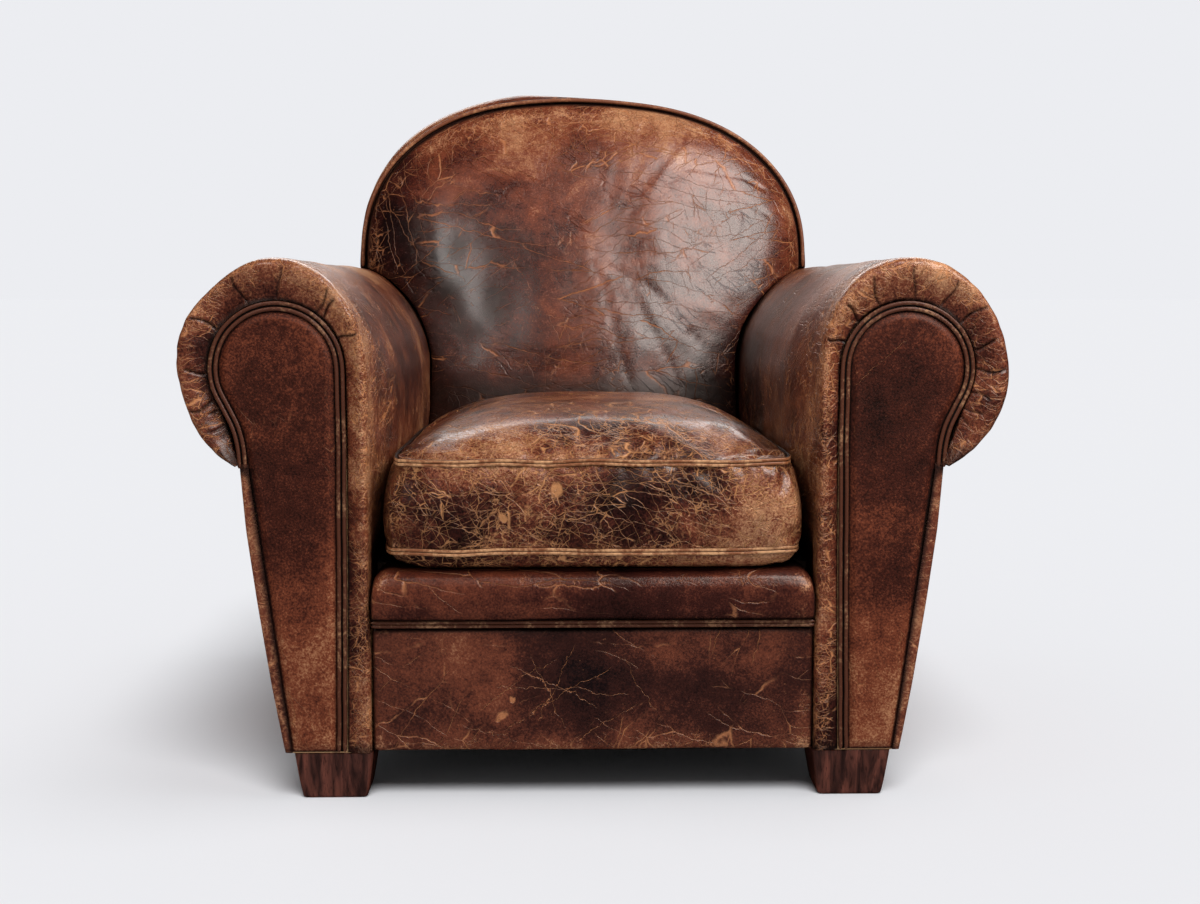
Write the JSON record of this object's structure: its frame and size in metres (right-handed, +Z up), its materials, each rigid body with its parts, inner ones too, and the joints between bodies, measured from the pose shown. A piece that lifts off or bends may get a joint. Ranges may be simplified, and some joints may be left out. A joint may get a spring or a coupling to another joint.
{
  "type": "club chair",
  "caption": "Low worn leather club chair with fat rolled arms, an arched back and one loose box-edged seat cushion on block feet.",
  "frame": {"origin": "on the floor, under the middle of the chair's width and depth", "axes": "+X to the right as seen from the front, +Y towards the back, +Z up; the chair faces -Y"},
  "size_m": [0.897, 0.8768, 0.8576],
  "materials": {
    "body_leather": "glossy waxed brown leather, creased and crackled, worn tan on the edges",
    "facing_leather": "smooth mottled reddish brown leather, satin",
    "cushion_leather": "heavily worn brown leather, crackled to ochre and tan",
    "welt_leather": "corded leather welt, rubbed to tan along its top",
    "foot_wood": "dark reddish brown stained wood, satin",
    "beech": "plain unfinished beech",
    "steel": "dull drawn steel",
    "jute": "woven jute webbing",
    "hessian": "open weave hessian",
    "deck_cloth": "dark brown platform cloth, matt",
    "lining": "black dust cover cloth, matt"
  },
  "bodies": {
    "root": {"arm_pad_right": "body_leather", "outer_arm_right": "body_leather", "arm_facing_right": "facing_leather", "arm_welt_right": "welt_leather", "arm_front_post_right": "beech", "back_post_right": "beech", "arm_top_rail_right": "beech", "arm_stay_rail_right": "beech", "side_seat_rail_right": "beech", "foot_front_right": "foot_wood", "foot_bolt_front_right": "steel", "corner_block_front_right": "beech", "foot_rear_right": "foot_wood", "foot_bolt_rear_right": "steel", "corner_block_rear_right": "beech", "arm_pad_left": "body_leather", "outer_arm_left": "body_leather", "arm_facing_left": "facing_leather", "arm_welt_left": "welt_leather", "arm_front_post_left": "beech", "back_post_left": "beech", "arm_top_rail_left": "beech", "arm_stay_rail_left": "beech", "side_seat_rail_left": "beech", "foot_front_left": "foot_wood", "foot_bolt_front_left": "steel", "corner_block_front_left": "beech", "foot_rear_left": "foot_wood", "foot_bolt_rear_left": "steel", "corner_block_rear_left": "beech", "front_seat_rail": "beech", "rear_seat_rail": "beech", "back_top_rail": "beech", "back_stay_rail": "beech", "web_strap_long_1": "jute", "web_strap_cross_1": "jute", "seat_spring_11": "steel", "seat_spring_12": "steel", "seat_spring_13": "steel", "web_strap_long_2": "jute", "web_strap_cross_2": "jute", "seat_spring_21": "steel", "seat_spring_22": "steel", "seat_spring_23": "steel", "web_strap_long_3": "jute", "web_strap_cross_3": "jute", "seat_spring_31": "steel", "seat_spring_32": "steel", "seat_spring_33": "steel", "spring_cover": "hessian", "seat_deck": "deck_cloth", "dust_cover": "lining", "front_lip": "body_leather", "front_apron": "body_leather", "back_pad": "body_leather", "back_border": "body_leather", "outer_back": "body_leather", "front_welt": "welt_leather", "back_welt": "welt_leather", "seat_cushion": "cushion_leather"}
  },
  "joints": []
}
